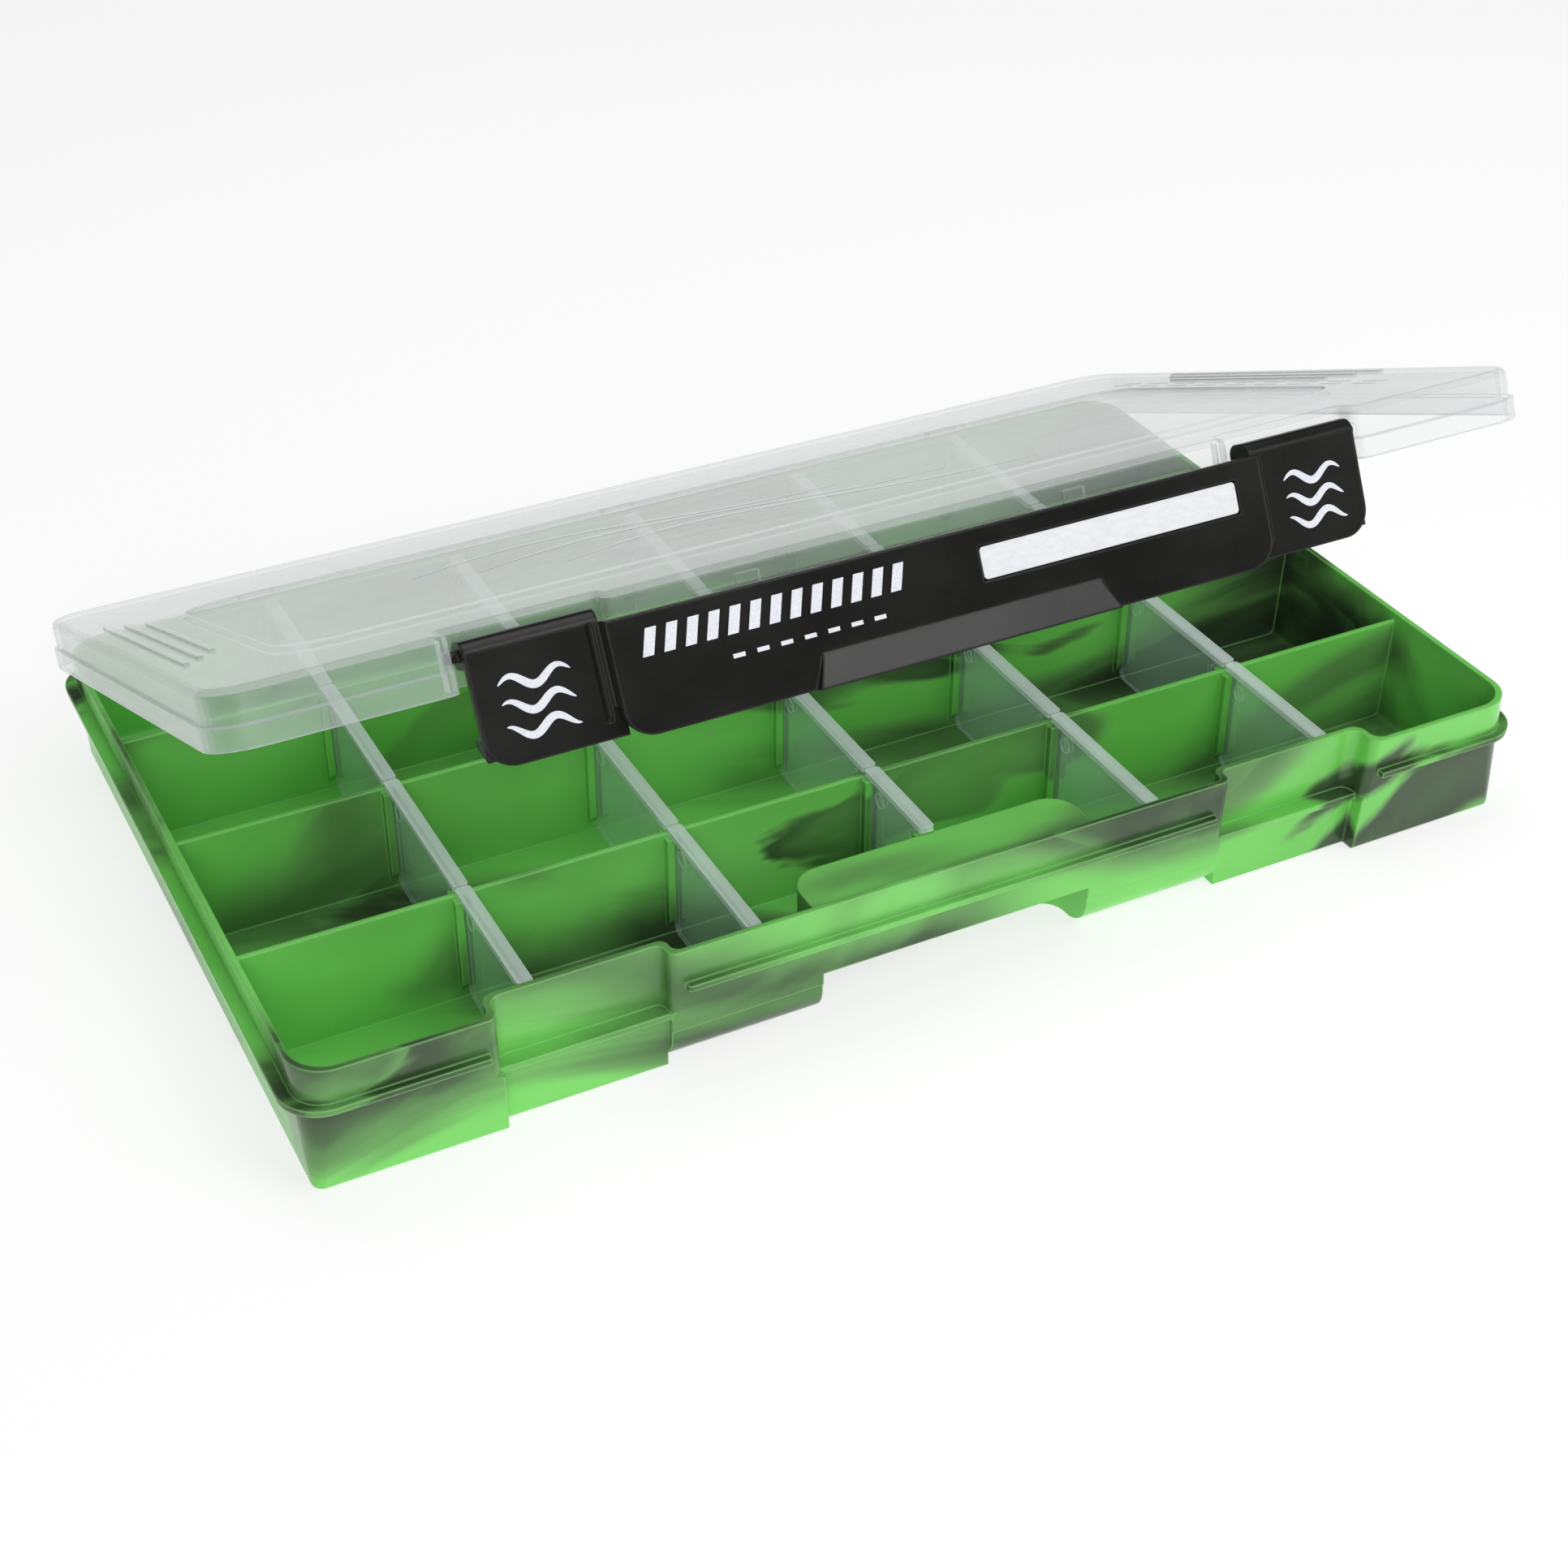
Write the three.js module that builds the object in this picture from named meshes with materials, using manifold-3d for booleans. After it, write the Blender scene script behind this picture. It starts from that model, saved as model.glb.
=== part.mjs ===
// Fishing tackle box: marbled compartment tray, lift-out dividers, clear hinged
// lid and a full-width front latch with a blank name label.
// Millimetres, +Z up, +X along the length, the latch faces -Y.
import * as THREE from 'three';
import { mergeVertices } from 'three/addons/utils/BufferGeometryUtils.js';
import Module from 'manifold-3d';

const wasm = await Module();
wasm.setup();

// ---- driving dimensions -------------------------------------------------
const GAP = 0.3;                       // clearance between pieces that touch
const TRAY = {
  halfX: 172.2, halfY: 103, height: 35.5, wall: 1.5, floor: 1.6,
  corner: 10, footCorner: 3,           // outer corner radius at the rim and at the table
  draft: 1.2,                          // how far the walls lean in at the table
  bottomRound: 1.2, frontRound: 9, noseFill: 4.6,
  endStep: 124, pocketStep: 80,        // where the front wall steps in plan
  pocketY: -95.2, middleY: -100.3, ledgeY: -99.8, lowerY: -98.6,
  ledgeTop: 17, ledgeThick: 1.8, stepRound: 3.4,
};
const WALL_Y = [50.3, -0.8, -52];      // three long walls, rear to front
const WALL_TOP = 33.2;
const COLUMN_PITCH = 56.8;             // divider columns at multiples of this
const COLUMNS = [-2, -1, 0, 1, 2];
const RIB = { width: 2, depth: 2.2, bottom: 4, top: 32.4, chamfer: 3 };
const FLANGE = {
  bottom: 24.2, top: 25.8, side: 3, rear: 2.6, front: 1.8, corner: 11,
  lap: 1.2,                            // how far the middle strip runs back into the wall
  endInset: 3, middleInset: 4,
};
const RECESS = { half: 40, rear: -81.8, roof: 33, lipZ: 14.5, round: 8 };
const HINGE = {
  y: 108.5, z: 22.5, knuckleR: 3, pinR: 1.4, boreR: 1.7, stations: [-115, 0, 115],
  knuckleHalf: 5, earIn: 5.4, earOut: 9.4, pinHalf: 8.6, notchY: 104.6,
  armBack: 3.2, armTop: 33, footBottom: 28,
};
const LID = {
  halfX: 174.8, halfY: 104.8, top: 39.5, bottom: 26.1, wall: 1.4, plate: 1.6,
  endStep: 120.4, pocketStep: 84, pocketY: -97, middleY: -102.1,
  bandTop: 31.6, bandOut: 0.8, corner: 11, stepRound: 3,
  pocketRound: 1, topRound: 2,
};
const PANEL = { halfX: 148, front: -66, rear: 52, depth: 0.7, round: 14 };
const BARS = { at: [[167.6, 52], [163.2, 46], [158.8, 39]], half: 0.8, rise: 0.6, shift: -4 };
const CLIPS = { at: [-49, 38], half: 3, out: 1.3, bottom: 0.6, top: 3 };
const LATCH = {
  y: -100.5, z: 33.5, half: 118.6, step: 87, bossR: 3.2, pinR: 1.4, boreR: 1.7,
  endOut: -105.5, endIn: -103.6, midOut: -109.3, midIn: -107.3,
  endTop: 36.7, midTop: 33.8, endBottom: 7.7, midBottom: 6.7, round: 7,
  crown: 3, cheek: 1.8, pinOut: 2.9, lipBack: -106.7, lipDrop: 1.6,
  grooveX: 2.2, grooveHalf: 0.7, grooveDepth: 0.5,
};
const HOOK = { x0: 88, x1: 118.4, tip: -98.95, bottom: 12.6, top: 14.9 };
const TAB = { half: 41, topHalf: 36.5, top: 14.6, flare: 2.4, root: 0.6 };
const LABEL = { x0: 7, x1: 79, z0: 21.2, z1: 28.9, thick: 0.4, recess: 0.9, round: 1 };
const DIVIDER = {
  plate: 1.1, bead: 4, beadBottom: 33.5, beadTop: 35.1, beadRound: 0.8, bottom: 1.9,
  endGap: 0.8,                         // between the beads of neighbouring rows
  lean: 1.8, toe: 1.6, noseToe: 5.4,   // clear the drafted walls and the rounds at the floor
};
const LID_REST = 23.8, LATCH_REST = 4; // degrees open, as the box stands
const CENTRE_Y = 3.9686;               // plan centre of the standing box

const COLORS = { green: 0x57b944, clear: 0xd5e2e4, black: 0x1b1b19, label: 0xf1f2f4 };

// ---- helpers -------------------------------------------------------------
function toSolid(geometry) {
  const g = geometry.clone();
  g.deleteAttribute('normal');
  g.deleteAttribute('uv');
  const m = mergeVertices(g, 1e-4);
  return new wasm.Manifold(new wasm.Mesh({
    numProp: 3,
    vertProperties: new Float32Array(m.attributes.position.array),
    triVerts: new Uint32Array(m.index.array),
  }));
}

function toGeometry(solid) {
  const mesh = solid.getMesh();
  const g = new THREE.BufferGeometry();
  g.setAttribute('position', new THREE.BufferAttribute(new Float32Array(mesh.vertProperties), 3));
  g.setIndex(new THREE.BufferAttribute(new Uint32Array(mesh.triVerts), 1));
  g.computeVertexNormals();
  return g;
}

const join = (solids) => solids.reduce((a, b) => a.add(b));

function boxGeometry(x0, x1, y0, y1, z0, z1) {
  return new THREE.BoxGeometry(x1 - x0, y1 - y0, z1 - z0)
    .translate((x0 + x1) / 2, (y0 + y1) / 2, (z0 + z1) / 2);
}
const box = (...limits) => toSolid(boxGeometry(...limits));

const ordered = (a, b) => [Math.min(a, b), Math.max(a, b)];

// closed outline from corners [u, v, fillet radius]
function filleted(corners) {
  const shape = new THREE.Shape();
  const n = corners.length;
  corners.forEach(([u, v, r], i) => {
    const p = new THREE.Vector2(u, v);
    const a = new THREE.Vector2(...corners[(i + n - 1) % n]).sub(p).normalize();
    const b = new THREE.Vector2(...corners[(i + 1) % n]).sub(p).normalize();
    if (!r) {
      if (i) shape.lineTo(u, v); else shape.moveTo(u, v);
      return;
    }
    const half = Math.acos(a.dot(b)) / 2;
    const start = a.clone().multiplyScalar(r / Math.tan(half)).add(p);
    const end = b.clone().multiplyScalar(r / Math.tan(half)).add(p);
    const c = a.clone().add(b).normalize().multiplyScalar(r / Math.sin(half)).add(p);
    if (i) shape.lineTo(start.x, start.y); else shape.moveTo(start.x, start.y);
    shape.absarc(c.x, c.y, r, Math.atan2(start.y - c.y, start.x - c.x),
      Math.atan2(end.y - c.y, end.x - c.x), a.cross(b) > 0);
  });
  return shape;
}

// plan outline pulled up from z0 to z1, with optional rounding of one end
function pulled(corners, z0, z1, { segments = 4, roundBottom = 0, roundTop = 0 } = {}) {
  const r = roundBottom || roundTop;
  const g = new THREE.ExtrudeGeometry(filleted(corners), {
    depth: z1 - z0, curveSegments: segments, steps: 1,
    bevelEnabled: r > 0, bevelSize: r, bevelOffset: -r, bevelThickness: r, bevelSegments: 3,
  });
  return g.translate(0, 0, roundTop ? z0 - r : z0 + (roundBottom ? r : 0));
}

// side profile [y, z] pulled along X
function alongX(corners, x0, x1, segments = 4) {
  const g = new THREE.ExtrudeGeometry(filleted(corners), {
    depth: x1 - x0, curveSegments: segments, bevelEnabled: false,
  });
  return toSolid(g.rotateZ(Math.PI / 2).rotateY(Math.PI / 2).translate(x0, 0, 0));
}

// front view [x, z] pulled along Y
function alongY(corners, y0, y1, segments = 4) {
  const g = new THREE.ExtrudeGeometry(filleted(corners), {
    depth: y1 - y0, curveSegments: segments, bevelEnabled: false,
  });
  return toSolid(g.rotateX(Math.PI / 2).translate(0, y1, 0));
}

function rod(radius, x0, x1, y, z, segments = 16) {
  const g = new THREE.CylinderGeometry(radius, radius, x1 - x0, segments);
  return toSolid(g.rotateZ(Math.PI / 2).translate((x0 + x1) / 2, y, z));
}

// fillet for both ends of a short step, kept just under half its length
const shallowRound = (round, step) => Math.min(round, Math.abs(step) / 2.2);

// plan of a box whose front wall steps back into two latch pockets
function steppedPlan(box, inset = 0) {
  const { pocketRound = box.stepRound } = box;
  const x = box.halfX - inset, y = box.halfY - inset, r = box.corner - inset / 2;
  const e = box.endStep + inset, p = box.pocketStep - inset;
  const py = box.pocketY + inset, my = box.middleY + inset;
  const t = shallowRound(box.stepRound, my - py);
  const right = [[p, my, t], [p, py, Math.min(t, pocketRound)], [e, py, pocketRound],
    [e, -y, box.stepRound], [x, -y, r], [x, y, r]];
  const left = right.map(([u, v, q]) => [-u, v, q]).reverse();
  return [...right, ...left];
}

// lean of the moulded walls, zero at the rim
function draft(geometry) {
  const p = geometry.attributes.position;
  for (let i = 0; i < p.count; i++) {
    const lean = TRAY.draft * (TRAY.height - p.getZ(i)) / TRAY.height;
    p.setX(i, p.getX(i) * (1 - lean / TRAY.halfX));
    p.setY(i, p.getY(i) * (1 - lean / TRAY.halfY));
  }
  return geometry;
}

// outer corners draw in to a small radius at the table
function tightened(geometry) {
  const { halfX, halfY, corner, footCorner, height } = TRAY;
  const p = geometry.attributes.position;
  for (let i = 0; i < p.count; i++) {
    const x = p.getX(i), y = p.getY(i);
    const dx = Math.abs(x) - halfX + corner, dy = Math.abs(y) - halfY + corner;
    if (dx < -1e-6 || dy < -1e-6) continue;
    const change = (corner - footCorner) * (1 - p.getZ(i) / height);
    const d = Math.hypot(dx, dy);
    p.setX(i, x + Math.sign(x) * change * (1 - dx / d));
    p.setY(i, y + Math.sign(y) * change * (1 - dy / d));
  }
  return geometry;
}

// ---- tray ------------------------------------------------------------------
function slotRibs() {
  const { width, depth, bottom, top, chamfer } = RIB;
  const faces = [];                    // [wall face y, outward direction]
  const half = TRAY.wall / 2;
  WALL_Y.forEach((y) => faces.push([y + half, 1], [y - half, -1]));
  faces.push([TRAY.halfY - TRAY.wall, -1]);
  const frontFace = (c) => {
    if (c === 0) return RECESS.rear;
    return (Math.abs(c) === 1 ? TRAY.middleY : TRAY.pocketY) + TRAY.wall;
  };
  const inner = DIVIDER.plate / 2 + GAP;
  const ribs = [];
  for (const column of COLUMNS) {
    const x = column * COLUMN_PITCH;
    for (const [y, dir] of [...faces, [frontFace(column), 1]]) {
      const root = y - dir * half, tip = y + dir * depth;
      const profile = [[root, bottom, 0], [y, bottom, 0], [tip, bottom + chamfer, 0],
        [tip, top, 0], [root, top, 0]];
      for (const side of [-1, 1]) {
        const x0 = side > 0 ? x + inner : x - inner - width;
        ribs.push(alongX(profile, x0, x0 + width));
      }
    }
  }
  return join(ribs);
}

// rim that the lid sits on: wider at the sides and rear, missing in the latch pockets
function flange() {
  const { bottom, top, lap, front: out, corner: R } = FLANGE;
  const X = TRAY.halfX + FLANGE.side, rear = TRAY.halfY + FLANGE.rear, front = -TRAY.halfY - out;
  const ring = toSolid(pulled([[-X, front, R], [X, front, R], [X, rear, R], [-X, rear, R]],
    bottom, top, { segments: 5 }));
  const end = TRAY.endStep + FLANGE.endInset;
  const pockets = box(-end, end, front - 1, front + 20, bottom - 1, top + 1);
  const m = TRAY.pocketStep - FLANGE.middleInset, my = TRAY.middleY;
  const middle = toSolid(pulled([[-m, my - out, lap], [m, my - out, lap], [m, my + lap, 0],
    [-m, my + lap, 0]], bottom, top, { segments: 3 }));
  const inside = draft(pulled(steppedPlan(TRAY, TRAY.wall / 2), bottom - 1, top + 1));
  return ring.subtract(pockets).add(middle).subtract(toSolid(inside));
}

function hingeEars() {
  const { y, z, knuckleR, stations, earIn, earOut } = HINGE;
  const ears = [];
  for (const x of stations) {
    for (const side of [-1, 1]) {
      const [a, b] = ordered(x + side * earIn, x + side * earOut);
      ears.push(rod(knuckleR, a, b, y, z, 20));
      ears.push(box(a, b, TRAY.halfY - FLANGE.lap, y, z - knuckleR, z + knuckleR));
    }
  }
  return join(ears);
}

// everything in front of the stepped front wall, as a cutter
function frontCutter(pocketY, z0, z1, stepRound = TRAY.stepRound) {
  const { endStep: e, pocketStep: p, middleY: my } = TRAY;
  const face = -TRAY.halfY - 0.25;     // just clear of the outer face
  const t = shallowRound(stepRound, my - pocketY);
  const right = [[p, my, t], [p, pocketY, t], [e, pocketY, stepRound], [e, face, stepRound],
    [e + 8, face, 0], [e + 8, face - 12, 0]];
  const left = right.map(([u, v, r]) => [-u, v, r]).reverse();
  return toSolid(draft(pulled([...right, ...left], z0, z1)));
}

function buildTray() {
  const T = TRAY, r = RECESS;
  const rounded = [[-T.halfX, -T.halfY, T.corner], [T.halfX, -T.halfY, T.corner],
    [T.halfX, T.halfY, T.corner], [-T.halfX, T.halfY, T.corner]];
  const above = box(-200, 200, -200, 200, T.height, 60);
  const under = T.ledgeTop - T.ledgeThick;
  const outside = pulled(rounded, 0, T.height, { roundBottom: T.bottomRound, segments: 6 });
  const body = toSolid(draft(tightened(outside)))
    .subtract(above)
    .subtract(frontCutter(T.pocketY, T.ledgeTop, T.height + 5))
    .subtract(frontCutter(T.ledgeY, under, T.ledgeTop + 0.5, 0.2))
    .subtract(frontCutter(T.lowerY, -1, under + 0.01, 0.6));
  const cavity = toSolid(draft(pulled(steppedPlan(T, T.wall), T.floor, T.height + 2,
    { roundBottom: 2 })));
  // walls, slots and the recess hump run half way into the outer shell
  const core = toSolid(draft(pulled(steppedPlan(T, T.wall / 2), T.floor / 2, WALL_TOP)));
  const half = T.wall / 2;
  const walls = join(WALL_Y.map((y) => box(-T.halfX, T.halfX, y - half, y + half, 0, WALL_TOP + 1)));
  const hump = toSolid(pulled([[-r.half, -110, 0], [r.half, -110, 0], [r.half, r.rear, r.round],
    [-r.half, r.rear, r.round]], 0, r.roof));
  // thickened inside corner that backs the round under the front wall
  const y = T.middleY + T.wall, k = T.noseFill;
  const fill = alongX([[y - 1, 0, 0], [y + T.draft + k, 0, 0], [y + T.draft + k, T.floor, 0],
    [y + 0.8, T.floor + k, 0], [y - 1, T.floor + k, 0]], -T.pocketStep, T.pocketStep);
  let shell = body.subtract(cavity).add(join([walls, slotRibs(), hump, fill]).intersect(core))
    .add(flange()).add(hingeEars());
  // large round under the middle of the front wall
  const R = T.frontRound, fy = T.middleY + T.draft;
  const nose = alongX([[fy - 6, -1, 0], [fy + R + 1, -1, 0], [fy + R + 1, 0, 0], [fy, 0, R], [fy, R + 2, 0],
    [fy - 6, R + 2, 0]], -T.pocketStep, T.pocketStep, 5);
  // finger recess, open underneath and in front
  const q = T.wall;
  const well = toSolid(pulled([[-r.half + q, T.middleY + q, 0], [r.half - q, T.middleY + q, 0],
    [r.half - q, r.rear - q, r.round - q], [-r.half + q, r.rear - q, r.round - q]], -1, r.roof - q));
  const mouth = box(-r.half + q, r.half - q, -120, T.middleY + q + 0.5, -1, r.lipZ);
  shell = shell.subtract(nose).subtract(well).subtract(mouth);
  // hinge bores and the notches that let the lid knuckles pass the flange
  const { earIn, notchY } = HINGE;
  for (const x of HINGE.stations) {
    shell = shell.subtract(rod(HINGE.boreR, x - 10, x + 10, HINGE.y, HINGE.z, 16))
      .subtract(box(x - earIn, x + earIn, notchY, notchY + 15, 10, 40));
  }
  return shell;
}

// ---- dividers ----------------------------------------------------------------
function rowSpan(row, column) {
  const half = TRAY.wall / 2;
  const rear = row === 1 ? TRAY.halfY - TRAY.wall : WALL_Y[row - 2] - half;
  if (row < 4) return [WALL_Y[row - 1] + half, rear];
  if (column === 0) return [RECESS.rear, rear];
  return [(Math.abs(column) === 1 ? TRAY.middleY : TRAY.pocketY) + TRAY.wall, rear];
}

function buildDivider(row, column) {
  const d = DIVIDER, half = d.plate / 2, bar = d.bead / 2, r = d.beadRound;
  const [front, rear] = rowSpan(row, column);
  const f = front + GAP, b = rear - GAP;
  const meetsFrontWall = row === 4 && column !== 0;
  const fLow = meetsFrontWall ? f + d.lean : f;
  const bLow = row === 1 ? b - d.lean : b;
  const x = column * COLUMN_PITCH;
  const frontToe = meetsFrontWall && Math.abs(column) === 1 ? d.noseToe : d.toe;
  const plateTop = d.beadBottom + 0.4;
  const plate = alongX([[fLow + frontToe, d.bottom, 0], [bLow - d.toe, d.bottom, 0],
    [bLow, d.bottom + d.toe, 0], [b, plateTop, 0], [f, plateTop, 0],
    [fLow, d.bottom + frontToe, 0]], x - half, x + half);
  const over = (TRAY.wall - d.endGap) / 2;  // each bead rests over half a wall top
  const bf = meetsFrontWall ? f : front - over;
  const bb = row === 1 ? b : rear + over;
  const bead = toSolid(pulled([[x - bar, bf, r], [x + bar, bf, r], [x + bar, bb, r], [x - bar, bb, r]],
    d.beadBottom, d.beadTop, { segments: 2 }));
  return plate.add(bead);
}

// ---- lid -----------------------------------------------------------------------
function buildLid() {
  const L = LID;
  const skirtPlan = (out, inset) => steppedPlan({
    ...L, halfX: L.halfX + out, halfY: L.halfY + out,
  }, inset);
  const upperFoot = L.bandTop - 0.4;
  const upper = toSolid(pulled(skirtPlan(0, 0), upperFoot, L.top, { roundTop: L.topRound }))
    .intersect(box(-200, 200, -200, 200, upperFoot, 60));
  const band = toSolid(pulled(skirtPlan(L.bandOut, 0), L.bottom, L.bandTop));
  let lid = upper.add(band)
    .subtract(toSolid(pulled(skirtPlan(0, L.wall), L.bottom - 1, L.top - L.plate)))
    .subtract(toSolid(pulled(skirtPlan(L.bandOut, L.wall), L.bottom - 1, L.bandTop - 0.6)));
  // sunk centre panel, pressed the same depth on both faces
  const P = PANEL;
  const panel = (grow, z0, z1) => toSolid(pulled([
    [-P.halfX - grow, P.front - grow, P.round], [P.halfX + grow, P.front - grow, P.round],
    [P.halfX + grow, P.rear + grow, P.round], [-P.halfX - grow, P.rear + grow, P.round]], z0, z1));
  lid = lid.add(panel(1, L.top - L.plate - P.depth, L.top - L.plate + 0.2))
    .subtract(panel(0, L.top - P.depth, L.top + 1));
  // three raised bars at each end
  for (const [x, reach] of BARS.at) {
    const front = BARS.shift - reach, rear = BARS.shift + reach;
    for (const c of [-x, x]) {
      const [a, b] = [c - BARS.half, c + BARS.half];
      lid = lid.add(toSolid(pulled([[a, front, 0.7], [b, front, 0.7], [b, rear, 0.7], [a, rear, 0.7]],
        L.top - 0.5, L.top + BARS.rise, { segments: 2 })));
    }
  }
  // two small catches on the middle of the front wall
  for (const x of CLIPS.at) {
    lid = lid.add(box(x - CLIPS.half, x + CLIPS.half, L.middleY - CLIPS.out, L.middleY + 0.6,
      L.bottom + CLIPS.bottom, L.top - CLIPS.top));
  }
  // knuckles with moulded stub pins, carried on arms behind the rear wall
  const H = HINGE, k = H.knuckleHalf;
  for (const x of H.stations) {
    const arm = box(x - k, x + k, H.y - H.armBack, H.y, H.z, H.armTop);
    const foot = box(x - k, x + k, L.halfY - 0.6, H.y - 3, H.footBottom, H.armTop);
    lid = lid.add(arm).add(foot).add(rod(H.knuckleR, x - k, x + k, H.y, H.z, 20))
      .add(rod(H.pinR, x - H.pinHalf, x + H.pinHalf, H.y, H.z, 16));
  }
  // sockets for the latch pivots in the two end walls of the front recess
  for (const x of [-L.endStep, L.endStep]) {
    lid = lid.subtract(rod(LATCH.boreR, x - 3, x + 3, LATCH.y, LATCH.z, 16));
  }
  return lid;
}

// ---- latch -----------------------------------------------------------------------
function buildLatch() {
  const K = LATCH, H = K.half, S = K.step, r = K.round;
  const ends = [-1, 1].map((s) => {
    const [a, b] = ordered(s * H, s * (S - 1.6));
    const round = s < 0 ? [r, 0] : [0, r];
    const plateTop = K.endTop - K.crown - 0.2;
    const plate = alongY([[a, K.endBottom, round[0]], [b, K.endBottom, round[1]], [b, plateTop, 0],
      [a, plateTop, 0]], K.endOut, K.endIn, 5);
    // thickened top edge that carries the stub pins
    const back = K.y + K.bossR, foot = K.z - K.crown;
    const crown = alongX([[K.endOut, foot, 0], [back, foot, 1.5], [back, K.endTop, 2.9],
      [K.endOut, K.endTop, 3]], ...ordered(s * H, s * (S + 0.1)), 5);
    const stub = rod(K.pinR, ...ordered(s * (H - 2), s * (H + K.pinOut)), K.y, K.z);
    const root = K.endIn - 0.8;
    const hook = alongX([[root, HOOK.bottom - 3, 0], [HOOK.tip, HOOK.bottom, 0], [HOOK.tip, HOOK.top, 0],
      [root, HOOK.top, 0]], ...ordered(s * HOOK.x0, s * HOOK.x1));
    return join([plate, crown, stub, hook]);
  });
  const middle = alongY([[-S, K.midBottom, r], [S, K.midBottom, r], [S, K.midTop, 0], [-S, K.midTop, 0]],
    K.midOut, K.midIn, 5);
  const cheeks = [-1, 1].map((s) => box(...ordered(s * (S - K.cheek), s * S),
    K.midOut + 0.4, K.endOut + 1.4, K.endBottom + r, K.midTop));
  const lip = box(-S + 1, S - 1, K.midIn - 1, K.lipBack, K.midTop - K.lipDrop, K.midTop);
  // flared thumb tab along the lower edge
  const t = TAB, tabRoot = K.midOut + t.root;
  const wedge = alongX([[K.midOut - t.flare, K.midBottom, 0], [K.midOut, t.top, 0],
    [tabRoot, t.top + 0.4, 0], [tabRoot, K.midBottom, 0]], -t.half, t.half);
  const keepTab = alongY([[-t.half, K.midBottom - 1, 0], [t.half, K.midBottom - 1, 0],
    [t.topHalf, t.top + 2, 0], [-t.topHalf, t.top + 2, 0]], K.midOut - 5, K.midIn);
  let latch = join([...ends, middle, ...cheeks, lip, wedge.intersect(keepTab)]);
  // upright groove where the middle steps out from each end
  for (const x of [-S - K.grooveX, S + K.grooveX]) {
    latch = latch.subtract(box(x - K.grooveHalf, x + K.grooveHalf, K.endOut - 1,
      K.endOut + K.grooveDepth, K.endBottom + 4, K.endTop - K.crown));
  }
  // shallow bed for the label
  const b = LABEL;
  return latch.subtract(box(b.x0 - GAP, b.x1 + GAP, K.midOut - 1, K.midOut + b.recess,
    b.z0 - GAP, b.z1 + GAP));
}

function buildLabel() {
  const b = LABEL, y = LATCH.midOut + b.recess - GAP, r = b.round;
  return alongY([[b.x0, b.z0, r], [b.x1, b.z0, r], [b.x1, b.z1, r], [b.x0, b.z1, r]], y - b.thick, y, 3);
}

// ---- assembly ----------------------------------------------------------------------
function piece(name, solid, color, roughness, opacity = 1) {
  const material = new THREE.MeshStandardMaterial({
    color, roughness, metalness: 0, transparent: opacity < 1, opacity,
  });
  const mesh = new THREE.Mesh(toGeometry(solid), material);
  mesh.name = name;
  return mesh;
}

// group turned about an X axis through (y, z); children keep box coordinates
function turned(name, y, z, degrees) {
  const group = new THREE.Group();
  group.name = name;
  group.position.set(0, y, z);
  group.rotation.x = -THREE.MathUtils.degToRad(degrees);
  const inner = new THREE.Group();
  inner.name = `${name}_frame`;
  inner.position.set(0, -y, -z);
  group.add(inner);
  return [group, inner];
}

const assembly = new THREE.Group();
assembly.name = 'fishing_tackle_box';
assembly.position.y = -CENTRE_Y;
assembly.add(piece('tray', buildTray(), COLORS.green, 0.35));
for (const row of [1, 2, 3, 4]) {
  for (const column of COLUMNS) {
    assembly.add(piece(`divider_r${row}c${column + 3}`, buildDivider(row, column),
      COLORS.clear, 0.2, 0.45));
  }
}
const [lidGroup, lidFrame] = turned('lid_swing', HINGE.y, HINGE.z, LID_REST);
const [latchGroup, latchFrame] = turned('latch_swing', LATCH.y, LATCH.z, LATCH_REST);
lidFrame.add(piece('lid', buildLid(), COLORS.clear, 0.2, 0.4));
latchFrame.add(piece('latch', buildLatch(), COLORS.black, 0.5));
latchFrame.add(piece('latch_label', buildLabel(), COLORS.label, 0.6));
lidFrame.add(latchGroup);
assembly.add(lidGroup);

export default assembly;
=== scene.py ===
"""Looks for the fishing tackle box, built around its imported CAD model. Metres, +Z up."""
import math

import bmesh
import bpy
from mathutils import Matrix, Vector


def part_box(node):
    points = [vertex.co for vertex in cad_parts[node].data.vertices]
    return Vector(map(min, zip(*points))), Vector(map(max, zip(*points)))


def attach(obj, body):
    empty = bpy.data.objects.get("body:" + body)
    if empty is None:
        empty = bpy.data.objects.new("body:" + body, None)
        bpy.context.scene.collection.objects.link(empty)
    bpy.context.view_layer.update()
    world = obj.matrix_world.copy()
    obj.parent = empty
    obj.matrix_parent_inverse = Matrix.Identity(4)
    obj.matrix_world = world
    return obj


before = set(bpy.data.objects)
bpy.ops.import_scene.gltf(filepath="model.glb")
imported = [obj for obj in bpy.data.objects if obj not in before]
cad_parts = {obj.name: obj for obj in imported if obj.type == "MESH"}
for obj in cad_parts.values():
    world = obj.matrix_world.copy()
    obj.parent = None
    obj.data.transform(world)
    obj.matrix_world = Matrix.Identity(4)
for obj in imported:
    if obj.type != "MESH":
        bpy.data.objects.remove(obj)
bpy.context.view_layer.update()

MM = 0.001
WHITE = (1, 1, 1, 1)

# The CAD frame: plan centre, hinge lines (y, z in mm with the lid shut) and rest angles in degrees
CENTRE_Y = 3.9686
LID_HINGE, LID_REST = (108.5, 22.5), 23.8
LATCH_HINGE, LATCH_REST = (-100.5, 33.5), 4.0

# Surfaces that carry detail, in mm with the lid and latch shut, and the gap left under that detail
LATCH_FACE, LATCH_END_FACE, LATCH_END_X = -109.3, -105.5, 104.2
LID_PANEL_TOP, LID_EDGE_TOP = 38.8, 39.5
DIVIDER_HALF, DIVIDER_BEAD = 0.55, 33.5
SKIN = 0.02


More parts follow.
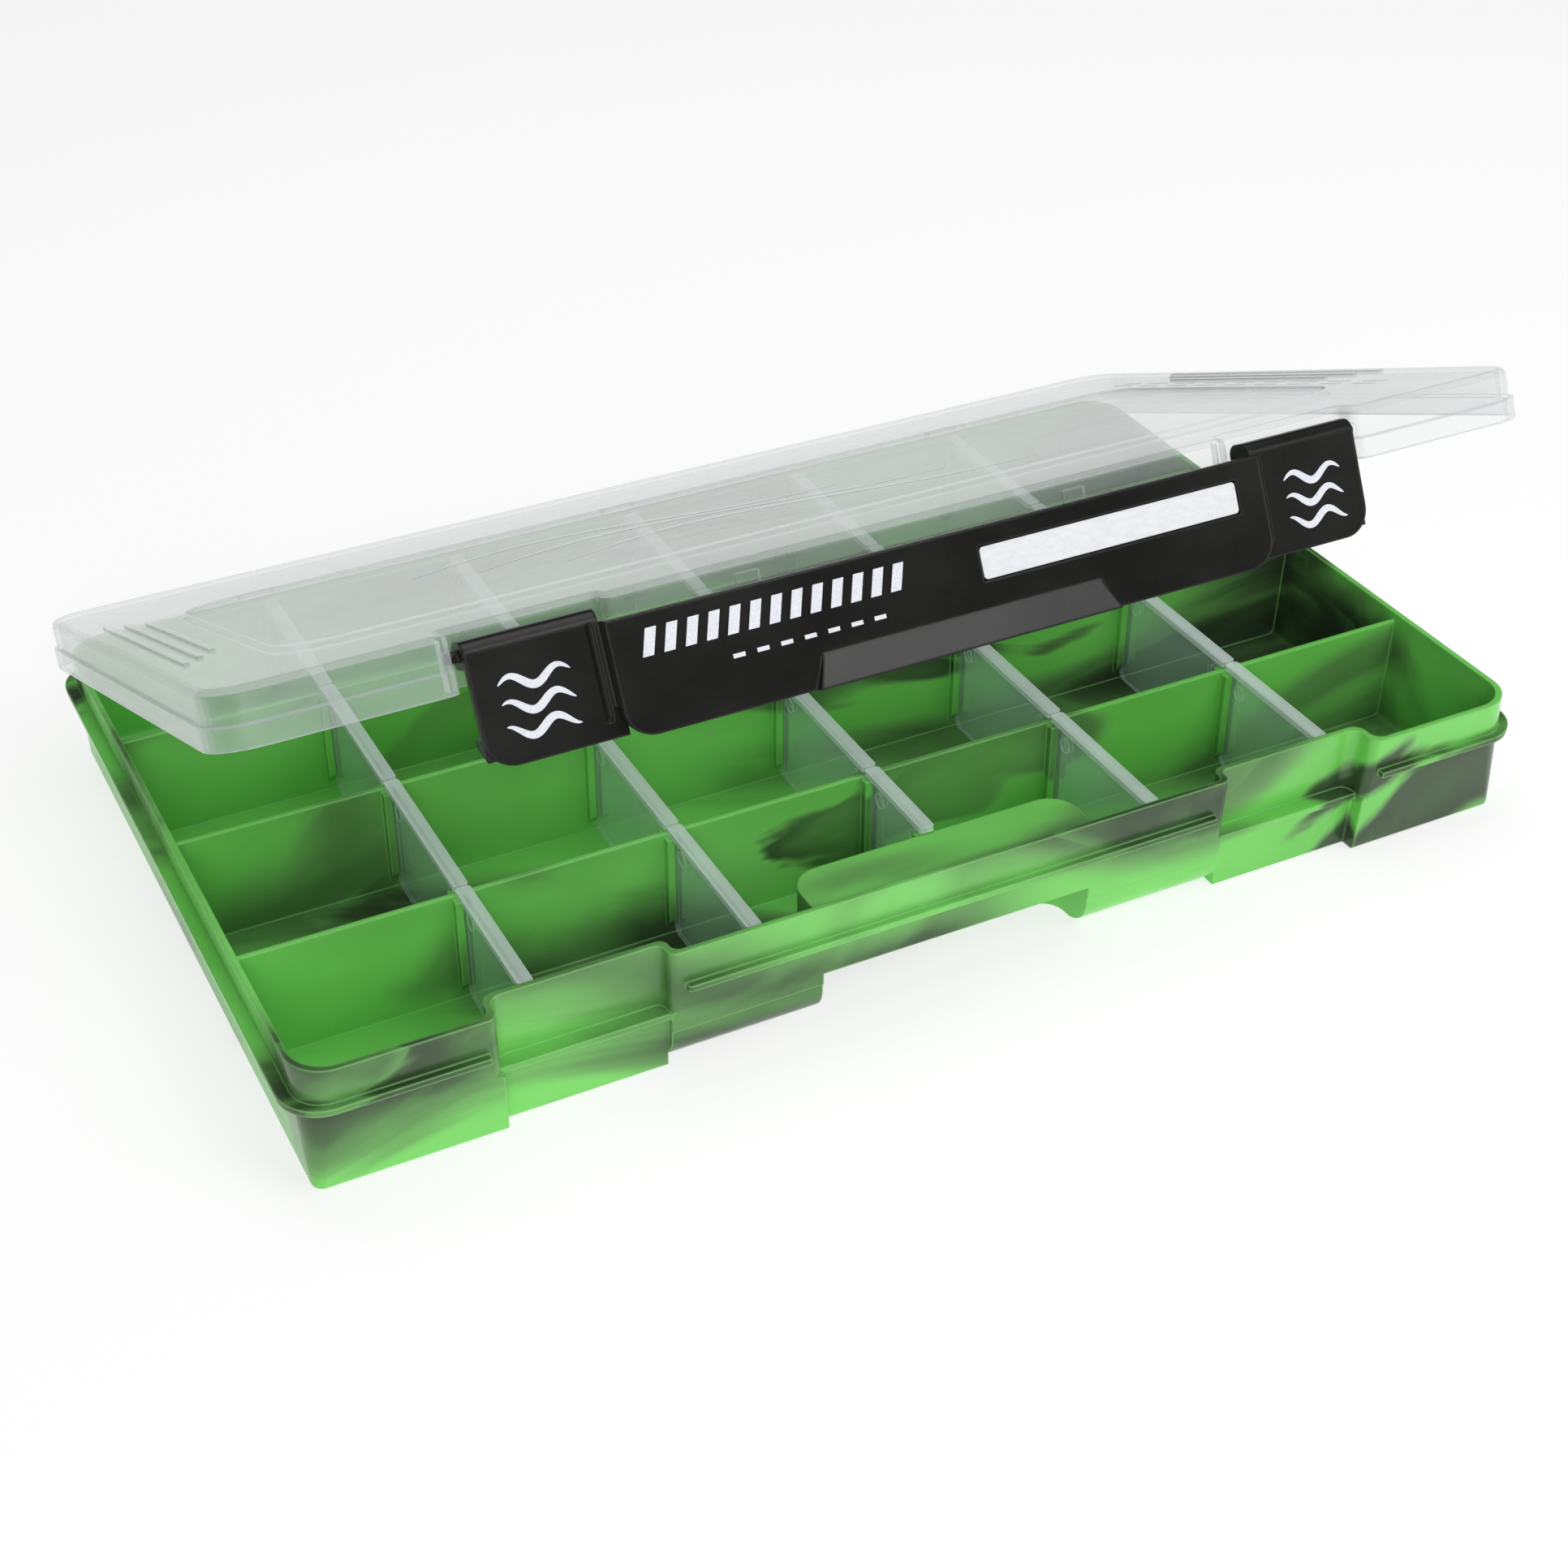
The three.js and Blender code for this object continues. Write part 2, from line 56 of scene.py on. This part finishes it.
# ---- camera, lights and floor --------------------------------------------
def set_camera():
    """The photo's view: place in mm, angles in radians."""
    place = Vector((-267.7, -524.55 - CENTRE_Y, 407.46))
    yaw, pitch, roll = 0.4740, -0.6083, 0.0028
    data = bpy.data.cameras.new("camera")
    data.lens, data.sensor_width, data.clip_end = 57.985, 36.0, 20.0
    cam = bpy.data.objects.new("camera", data)
    turn = (Matrix.Rotation(-yaw, 4, "Z") @ Matrix.Rotation(math.pi / 2 + pitch, 4, "X")
            @ Matrix.Rotation(roll, 4, "Z"))
    cam.matrix_world = Matrix.Translation(place * MM) @ turn
    bpy.context.scene.collection.objects.link(cam)
    bpy.context.scene.camera = cam


def area_light(name, place, target, size, power):
    data = bpy.data.lights.new(name, "AREA")
    data.shape, data.size, data.energy = "SQUARE", size, power
    lamp = bpy.data.objects.new(name, data)
    lamp.location = place
    lamp.rotation_euler = (Vector(target) - Vector(place)).to_track_quat("-Z", "Y").to_euler()
    bpy.context.scene.collection.objects.link(lamp)


def set_sky():
    """A backdrop that looks white but lights the scene only a little."""
    shine, looks = 0.06, 1.0
    world = bpy.data.worlds.new("studio")
    world.use_nodes = True
    tree = world.node_tree
    sky = tree.nodes["Background"]
    sky.inputs["Color"].default_value = WHITE
    seen = tree.nodes.new("ShaderNodeLightPath").outputs["Is Camera Ray"]
    strength = tree.nodes.new("ShaderNodeMapRange")
    strength.inputs["To Min"].default_value = shine
    strength.inputs["To Max"].default_value = looks
    tree.links.new(seen, strength.inputs["Value"])
    tree.links.new(strength.outputs[0], sky.inputs["Strength"])
    bpy.context.scene.world = world


def floor_white():
    """A glowing white that looks no brighter than white, so that the clear plastic stands out on it."""
    glow, more_when_seen, seen_base = 0.40, 0.33, (0.30, 0.30, 0.30)
    n = Nodes("studio_floor")
    base = n.ramp(n.noise(scale=40, detail=2), [(0.3, (0.84, 0.84, 0.84)), (0.7, (0.87, 0.87, 0.87))])
    seen = n.add("ShaderNodeLightPath").outputs["Is Camera Ray"]
    strength = n.math("ADD", n.math("MULTIPLY", seen, more_when_seen), glow)
    return n.finish(n.mix(seen, base, seen_base), rough=0.9, **{
        "Emission Color": WHITE, "Emission Strength": strength})


def add_floor():
    half, drop = 4.0, 0.0003
    corners = [(x * half, y * half, 0) for x, y in ((-1, -1), (1, -1), (1, 1), (-1, 1))]
    mesh = bpy.data.meshes.new("floor")
    mesh.from_pydata(corners, [], [(0, 1, 2, 3)])
    floor = bpy.data.objects.new("floor", mesh)
    floor.location.z = -drop
    bpy.context.scene.collection.objects.link(floor)
    floor.data.materials.append(floor_white())


# ---- materials -------------------------------------------------------------
class Nodes:
    """A material's node tree, built one node at a time. Its radii and distances are in metres."""

    BEVEL_SAMPLES = 6

    def __init__(self, name):
        self.mat = bpy.data.materials.new(name)
        self.mat.use_nodes = True
        self.tree = self.mat.node_tree
        self.tree.nodes.clear()
        self.coords = self.add("ShaderNodeTexCoord").outputs["Object"]

    def set(self, socket, value):
        """Links the input to another node's output, or gives it a plain value."""
        if isinstance(value, bpy.types.NodeSocket):
            self.tree.links.new(value, socket)
        else:
            socket.default_value = value

    def add(self, kind, inputs=(), **settings):
        """A new node; inputs that are None stay as Blender has them."""
        node = self.tree.nodes.new(kind)
        for key, value in settings.items():
            setattr(node, key, value)
        for key, value in dict(inputs).items():
            if value is not None:
                self.set(node.inputs[key], value)
        return node

    def noise(self, scale, detail=3.0, roughness=0.5, distortion=0.0, at=None, stretch=None):
        at = at or self.coords
        if stretch:
            at = self.add("ShaderNodeMapping", {"Vector": at, "Scale": stretch}).outputs[0]
        return self.add("ShaderNodeTexNoise", {
            "Vector": at, "Scale": scale, "Detail": detail, "Roughness": roughness,
            "Distortion": distortion}).outputs["Fac"]

    def vector(self, operation, inputs):
        return self.add("ShaderNodeVectorMath", inputs, operation=operation)

    def warped(self, scale, amount, at=None):
        """Coordinates pushed about by a coarse noise, for flowing patterns."""
        at = at or self.coords
        cloud = self.add("ShaderNodeTexNoise", {"Vector": at, "Scale": scale, "Detail": 2.0})
        centred = self.vector("SUBTRACT", {0: cloud.outputs["Color"], 1: (0.5, 0.5, 0.5)})
        pushed = self.vector("SCALE", {0: centred.outputs[0], "Scale": amount})
        return self.vector("ADD", {0: at, 1: pushed.outputs[0]}).outputs[0]

    def math(self, operation, a, b=None):
        return self.add("ShaderNodeMath", {0: a, 1: b}, operation=operation).outputs[0]

    def swing(self, noise, amount):
        """The noise as a value that swings about zero."""
        return self.math("MULTIPLY", self.math("SUBTRACT", noise, 0.5), amount)

    def span(self, value, low, high, out_low=0.0, out_high=1.0):
        """A smooth change from out_low to out_high as value goes from low to high."""
        return self.add("ShaderNodeMapRange", {
            "Value": value, "From Min": low, "From Max": high, "To Min": out_low, "To Max": out_high},
            interpolation_type="SMOOTHSTEP").outputs[0]

    def ramp(self, value, stops):
        """A colour that goes between two stops, each a place and a colour."""
        node = self.add("ShaderNodeValToRGB", {0: value})
        for element, (place, colour) in zip(node.color_ramp.elements, stops):
            element.position, element.color = place, (*colour, 1)
        return node.outputs[0]

    def mix(self, share, a, b):
        """Colour a turning into colour b by share; the node's colour sockets have no names of their own."""
        return self.add("ShaderNodeMix", {"Factor": share, 6: self.colour(a), 7: self.colour(b)},
                        data_type="RGBA").outputs[2]

    def bevel(self, radius):
        return self.add("ShaderNodeBevel", {"Radius": radius}, samples=self.BEVEL_SAMPLES).outputs[0]

    def edges(self, radius):
        """One along sharp edges, fading to nothing within the radius."""
        true = self.add("ShaderNodeNewGeometry").outputs["Normal"]
        same = self.vector("DOT_PRODUCT", {0: self.bevel(radius), 1: true}).outputs["Value"]
        return self.span(same, 0.80, 0.99, 1.0, 0.0)

    def bump(self, height, strength, distance, radius=None):
        """Small relief, over edges rounded off where there is a radius."""
        return self.add("ShaderNodeBump", {
            "Height": height, "Strength": strength, "Distance": distance,
            "Normal": self.bevel(radius) if radius else None}).outputs[0]

    def finish(self, base, rough, normal=None, alpha=None, **shader):
        surface = self.add("ShaderNodeBsdfPrincipled", {
            "Base Color": self.colour(base), "Roughness": rough, "Normal": normal, "Alpha": alpha,
            **shader}).outputs[0]
        self.add("ShaderNodeOutputMaterial", {"Surface": surface})
        return self.mat

    @staticmethod
    def colour(value):
        """A socket as it is, or red, green and blue made opaque."""
        return value if isinstance(value, bpy.types.NodeSocket) else (*value, 1)


def marbled_green():
    """Apple green with long smoky streaks folded through it, and a painted highlight along its thin edges,
    where light would glow through the plastic.
    """
    deep, bright, edge_highlight = (0.145, 0.55, 0.085), (0.215, 0.70, 0.145), (0.32, 0.80, 0.25)
    thin_smoke, thick_smoke = (0.13, 0.34, 0.090), (0.030, 0.050, 0.024)
    n = Nodes("marbled_green_plastic")
    start = n.add("ShaderNodeMapping", {"Vector": n.coords, "Location": (2.3, 1.7, -0.4)}).outputs[0]
    flow = n.warped(2.4, 0.30, at=start)
    folds = n.noise(3.6, detail=2, roughness=0.42, distortion=1.3, at=flow, stretch=(0.75, 1.3, 1.7))
    wisps = n.noise(12, detail=3, roughness=0.5, distortion=2.2, at=flow, stretch=(0.4, 1.6, 1.8))

    # each fold of smoke darkens slowly and ends in a crisp side
    phase = n.math("FRACT", n.math("ADD", n.math("MULTIPLY", folds, 4.2), n.math("MULTIPLY", wisps, 0.55)))
    sheet = n.math("MULTIPLY", n.span(phase, 0.25, 0.90, 0.0, 0.9), n.span(phase, 0.88, 0.99, 1.0, 0.0))
    where = n.span(n.noise(4.6, detail=1, at=flow), 0.34, 0.55, 0.30, 1.0)
    broad = n.span(n.math("ADD", folds, n.swing(wisps, 0.34)), 0.48, 0.74)
    smoke = n.math("MAXIMUM", n.math("MULTIPLY", sheet, where), broad)
    # painted highlight along the edges: the smoke thins out there
    edge = n.edges(0.0009)
    smoke = n.math("MULTIPLY", smoke, n.span(edge, 0.0, 1.0, 1.0, 0.45))

    green = n.ramp(n.noise(9, detail=3, at=flow), [(0.32, deep), (0.68, bright)])
    haze = n.mix(n.span(smoke, 0.0, 0.5), green, thin_smoke)
    base = n.mix(n.span(smoke, 0.34, 1.0), haze, thick_smoke)
    # painted highlight along the edges: a lighter green mixed in
    base = n.mix(n.math("MULTIPLY", edge, 0.45), base, edge_highlight)
    rough = n.span(n.noise(26, detail=3, roughness=0.5), 0.3, 0.75, 0.19, 0.25)
    normal = n.bump(n.noise(420, detail=2), 0.04, 0.0003, radius=0.0008)
    return n.finish(base, rough, normal, **{
        "Subsurface Weight": 0.10, "Subsurface Radius": (0.003, 0.006, 0.002),
        "Subsurface Scale": 0.5, "IOR": 1.49, "Specular IOR Level": 0.45})


def clear_plastic(name, tint, see, painted_edge_colour, painted_edge_width, bead_from=None):
    """Milky clear plastic: see is how opaque a skin is face on and edge on, and the colour given for its
    edges is painted light and shade laid along them. Above the height bead_from it is thick enough to turn
    whitish."""
    veil, rim_more, bead_more, bead_blur = 0.06, 0.32, 0.26, 0.0002
    bead_white = (0.84, 0.93, 0.91)
    n = Nodes(name)
    facing = n.add("ShaderNodeLayerWeight", {"Blend": 0.5}).outputs["Facing"]
    haze = n.noise(9, detail=3, at=n.warped(6, 0.1))
    flow = n.noise(30, detail=4, distortion=0.8, stretch=(0.4, 2.5, 1))
    alpha = n.math("ADD", n.span(facing, 0.15, 1.0, *see), n.swing(haze, veil))
    base = n.mix(n.span(haze, 0.3, 0.7), tint, tuple(min(1.0, c * 1.08) for c in tint))
    if bead_from:
        height = n.add("ShaderNodeSeparateXYZ", {0: n.coords}).outputs[2]
        thick = n.span(height, bead_from - bead_blur, bead_from + bead_blur)
        alpha = n.math("ADD", alpha, n.math("MULTIPLY", thick, bead_more))
        base = n.mix(n.math("MULTIPLY", thick, 0.7), base, bead_white)
    # painted light and shade along the edges: more opacity and the given edge colour mixed in
    edge = n.edges(painted_edge_width)
    alpha = n.math("ADD", alpha, n.math("MULTIPLY", edge, rim_more))
    base = n.mix(n.math("MULTIPLY", edge, 0.8), base, painted_edge_colour)
    rough = n.span(flow, 0.3, 0.7, 0.07, 0.13)
    return n.finish(base, rough, n.bump(flow, 0.06, 0.0003), alpha=alpha, **{"IOR": 1.49})


def milky_lid():
    # the lid's edges get a painted dark bluish shade
    return clear_plastic("milky_clear_lid", tint=(0.74, 0.78, 0.785), see=(0.17, 0.54),
                         painted_edge_colour=(0.40, 0.46, 0.50), painted_edge_width=0.0008)


def clear_divider():
    # the dividers' edges get a painted near-white highlight
    return clear_plastic("clear_divider_plastic", tint=(0.74, 0.93, 0.86), see=(0.15, 0.40),
                         painted_edge_colour=(0.93, 0.99, 0.98), painted_edge_width=0.0004, bead_from=DIVIDER_BEAD * MM)


def satin_black():
    """Black plastic with a fine moulded grain."""
    n = Nodes("satin_black_plastic")
    cloud = n.noise(35, detail=4, roughness=0.6)
    base = n.ramp(cloud, [(0.3, (0.0055, 0.0055, 0.0048)), (0.7, (0.0095, 0.0095, 0.0085))])
    rough = n.span(cloud, 0.25, 0.75, 0.27, 0.34)
    normal = n.bump(n.noise(2600, detail=2), 0.22, 0.00012, radius=0.0009)
    return n.finish(base, rough, normal, **{"IOR": 1.47, "Specular IOR Level": 0.36})


def label_card():
    n = Nodes("blank_label_card")
    fibre = n.noise(900, detail=3, stretch=(0.4, 1, 1))
    base = n.ramp(fibre, [(0.3, (0.72, 0.73, 0.76)), (0.7, (0.80, 0.805, 0.83))])
    return n.finish(base, n.span(fibre, 0.3, 0.7, 0.42, 0.55), n.bump(fibre, 0.08, 0.0001, radius=0.0002))


def white_ink():
    n = Nodes("white_print")
    grain = n.noise(1800, detail=3)
    base = n.ramp(grain, [(0.3, (0.68, 0.70, 0.76)), (0.65, (0.80, 0.82, 0.87))])
    return n.finish(base, n.span(grain, 0.3, 0.7, 0.38, 0.5), n.bump(grain, 0.1, 0.00005))


# ---- placing Blender pieces -------------------------------------------------
def turned(pivot, degrees):
    """Rest placement of something drawn with that hinge shut."""
    to_pivot = Matrix.Translation((0, *pivot))
    return to_pivot @ Matrix.Rotation(-math.radians(degrees), 4, "X") @ to_pivot.inverted()


IN_FRAME = Matrix.Scale(MM, 4)
ON_LID = IN_FRAME @ Matrix.Translation((0, -CENTRE_Y, 0)) @ turned(LID_HINGE, LID_REST)
ON_LATCH = ON_LID @ turned(LATCH_HINGE, LATCH_REST)


class Patch:
    """Thin raised shapes in mm, gathered into one mesh. Their points are 3-D, and lift is the vector
    through their thickness."""

    def __init__(self):
        self.verts, self.faces = [], []

    def outline(self, points, lift):
        base, n = len(self.verts), len(points)
        self.verts += [Vector(p) for p in points] + [Vector(p) + Vector(lift) for p in points]
        self.faces += [tuple(base + i for i in range(n)), tuple(base + n + i for i in reversed(range(n)))]
        self.faces += [(base + i, base + (i + 1) % n, base + n + (i + 1) % n, base + n + i)
                       for i in range(n)]

    def stroke(self, middle, widths, lift, across):
        """A band along the points of middle, as wide as widths says there."""
        left, right = [], []
        for i, p in enumerate(middle):
            a, b = middle[max(i - 1, 0)], middle[min(i + 1, len(middle) - 1)]
            side = (Vector(b) - Vector(a)).cross(Vector(across)).normalized() * widths[i] / 2
            left.append(Vector(p) + side)
            right.append(Vector(p) - side)
        self.outline(left + right[::-1], lift)

    def ring(self, centre, radius, width, lift, count=20):
        """A flat ring that faces along X, as a run of quads with a thickness."""
        base = len(self.verts)
        for r in (radius - width, radius):
            for k in range(count):
                angle = 2 * math.pi * k / count
                p = Vector(centre) + Vector((0, r * math.cos(angle), r * math.sin(angle)))
                self.verts += [p, p + Vector(lift)]

        def at(loop, k, top):
            return base + 2 * (loop * count + k % count) + top

        for k in range(count):
            self.faces += [(at(0, k, 1), at(1, k, 1), at(1, k + 1, 1), at(0, k + 1, 1)),
                           (at(0, k, 0), at(0, k + 1, 0), at(1, k + 1, 0), at(1, k, 0)),
                           (at(1, k, 0), at(1, k + 1, 0), at(1, k + 1, 1), at(1, k, 1)),
                           (at(0, k, 0), at(0, k, 1), at(0, k + 1, 1), at(0, k + 1, 0))]


def make_piece(name, patch, place, body, material):
    mesh = bpy.data.meshes.new(name)
    mesh.from_pydata([place @ v for v in patch.verts], [], patch.faces)
    mesh.materials.append(material)
    piece = bpy.data.objects.new(name, mesh)
    bpy.context.scene.collection.objects.link(piece)
    bm = bmesh.new()
    bm.from_mesh(mesh)
    bmesh.ops.recalc_face_normals(bm, faces=bm.faces)
    bm.to_mesh(mesh)
    bm.free()
    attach(piece, body)


# ---- pieces ---------------------------------------------------------------------
PRINT_LIFT = (0, -0.06, 0)


def wave_print(name, centre_x, ink):
    """Three generic wave lines under each other on one end of the latch, thin at their ends."""
    steps, lines, pitch, top, length = 28, 3, 5.4, 25.6, 17
    swing, waves, shift = 1.5, 1.5, 0.12
    thin, swell = 0.2, 1.7
    marks = Patch()
    for line in range(lines):
        points, widths = [], []
        for i in range(steps + 1):
            t = i / steps
            z = top - pitch * line + swing * math.sin(2 * math.pi * (waves * t + shift * line))
            points.append((centre_x + length * (t - 0.5), LATCH_END_FACE - SKIN, z))
            widths.append(thin + swell * math.sin(math.pi * t) ** 0.7)
        marks.stroke(points, widths, PRINT_LIFT, across=(0, 1, 0))
    make_piece(name, marks, ON_LATCH, "latch_body", ink)


def bar_print(ink):
    """A row of equal slanted bars over a row of small dashes, on the face of the latch."""
    bars, bar_start, bar_pitch, bar_width, slant, bar_low, bar_high = 13, -80.0, 5.2, 2.7, 1.9, 24.0, 30.2
    dashes, dash_start, dash_pitch, dash_width, dash_low, dash_high = 7, -59, 6.0, 3.0, 18.6, 19.6
    y = LATCH_FACE - SKIN
    marks = Patch()
    for k in range(bars):
        left = bar_start + bar_pitch * k
        right = left + bar_width
        marks.outline([(left, y, bar_low), (right, y, bar_low),
                       (right + slant, y, bar_high), (left + slant, y, bar_high)], PRINT_LIFT)
    for k in range(dashes):
        left = dash_start + dash_pitch * k
        right = left + dash_width
        marks.outline([(left, y, dash_low), (right, y, dash_low),
                       (right, y, dash_high), (left, y, dash_high)], PRINT_LIFT)
    make_piece("bar_print", marks, ON_LATCH, "latch_body", ink)


def divider_marks(row, column, plastic):
    """The small round ejector marks near the top corners of a divider, on both of its faces."""
    inset, height, radius, width, thick = 6.0, 28.4, 2.3, 0.35, 0.12
    low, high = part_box(f"divider_r{row}c{column}")
    x = (low[0] + high[0]) / 2 / MM
    marks = Patch()
    for side in (-1, 1):
        for y in (low[1] / MM + inset, high[1] / MM - inset):
            marks.ring((x + side * DIVIDER_HALF, y, height), radius, width, lift=(side * thick, 0, 0))
    make_piece(f"divider_marks_r{row}c{column}", marks, IN_FRAME, f"divider_r{row}c{column}_body",
               plastic)


def lid_reliefs(plastic):
    """Faint raised lines moulded on the lid: ripples in the panel and dashes beside its right end."""
    lift, up = (0, 0, 0.1), (0, 0, 1)
    steps, swing, waves, thin, swell = 44, 15, 0.8, 0.3, 3.2
    dashes, dash_start, dash_pitch, dash_length, dash_width = 9, -74, 15, 9.5, 0.7
    marks = Patch()
    for start, end, middle in ((-96, 20, 4), (-84, 44, -14), (-66, 62, -32)):
        points, widths = [], []
        for i in range(steps + 1):
            t = i / steps
            y = middle + swing * math.sin(2 * math.pi * waves * t)
            points.append((start + (end - start) * t, y, LID_PANEL_TOP + SKIN))
            widths.append(thin + swell * math.sin(math.pi * t))
        marks.stroke(points, widths, lift, up)
    for k in range(dashes):
        y = dash_start + dash_pitch * k
        for x in (151.2, 154.6):
            ends = [(x, y, LID_EDGE_TOP + SKIN), (x, y + dash_length, LID_EDGE_TOP + SKIN)]
            marks.stroke(ends, [dash_width, dash_width], lift, up)
    make_piece("lid_reliefs", marks, ON_LID, "lid_body", plastic)


# ---- build ---------------------------------------------------------------------
set_camera()
set_sky()
bpy.context.scene.view_settings.view_transform = "Standard"
area_light("key", (-0.5, -1.35, 0.8), (0, 0, 0.03), size=0.8, power=9.5)
area_light("top", (0.1, 0.3, 1.7), (0, 0, 0.02), size=1.6, power=16)
area_light("fill", (1.3, -0.7, 0.45), (0, 0, 0.03), size=0.7, power=3.5)
area_light("sheen", (0.55, -0.95, 1.2), (0, -0.08, 0.1), size=0.6, power=6)
add_floor()

paint = {"tray": marbled_green(), "lid": milky_lid(), "latch": satin_black(), "latch_label": label_card()}
divider_plastic = clear_divider()
for node_name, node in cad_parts.items():
    node.data.materials.clear()
    node.data.materials.append(paint.get(node_name, divider_plastic))

print_ink = white_ink()
wave_print("wave_print_left", -LATCH_END_X, print_ink)
wave_print("wave_print_right", LATCH_END_X, print_ink)
bar_print(print_ink)
for row in range(1, 5):
    for column in range(1, 6):
        divider_marks(row, column, divider_plastic)
lid_reliefs(paint["lid"])
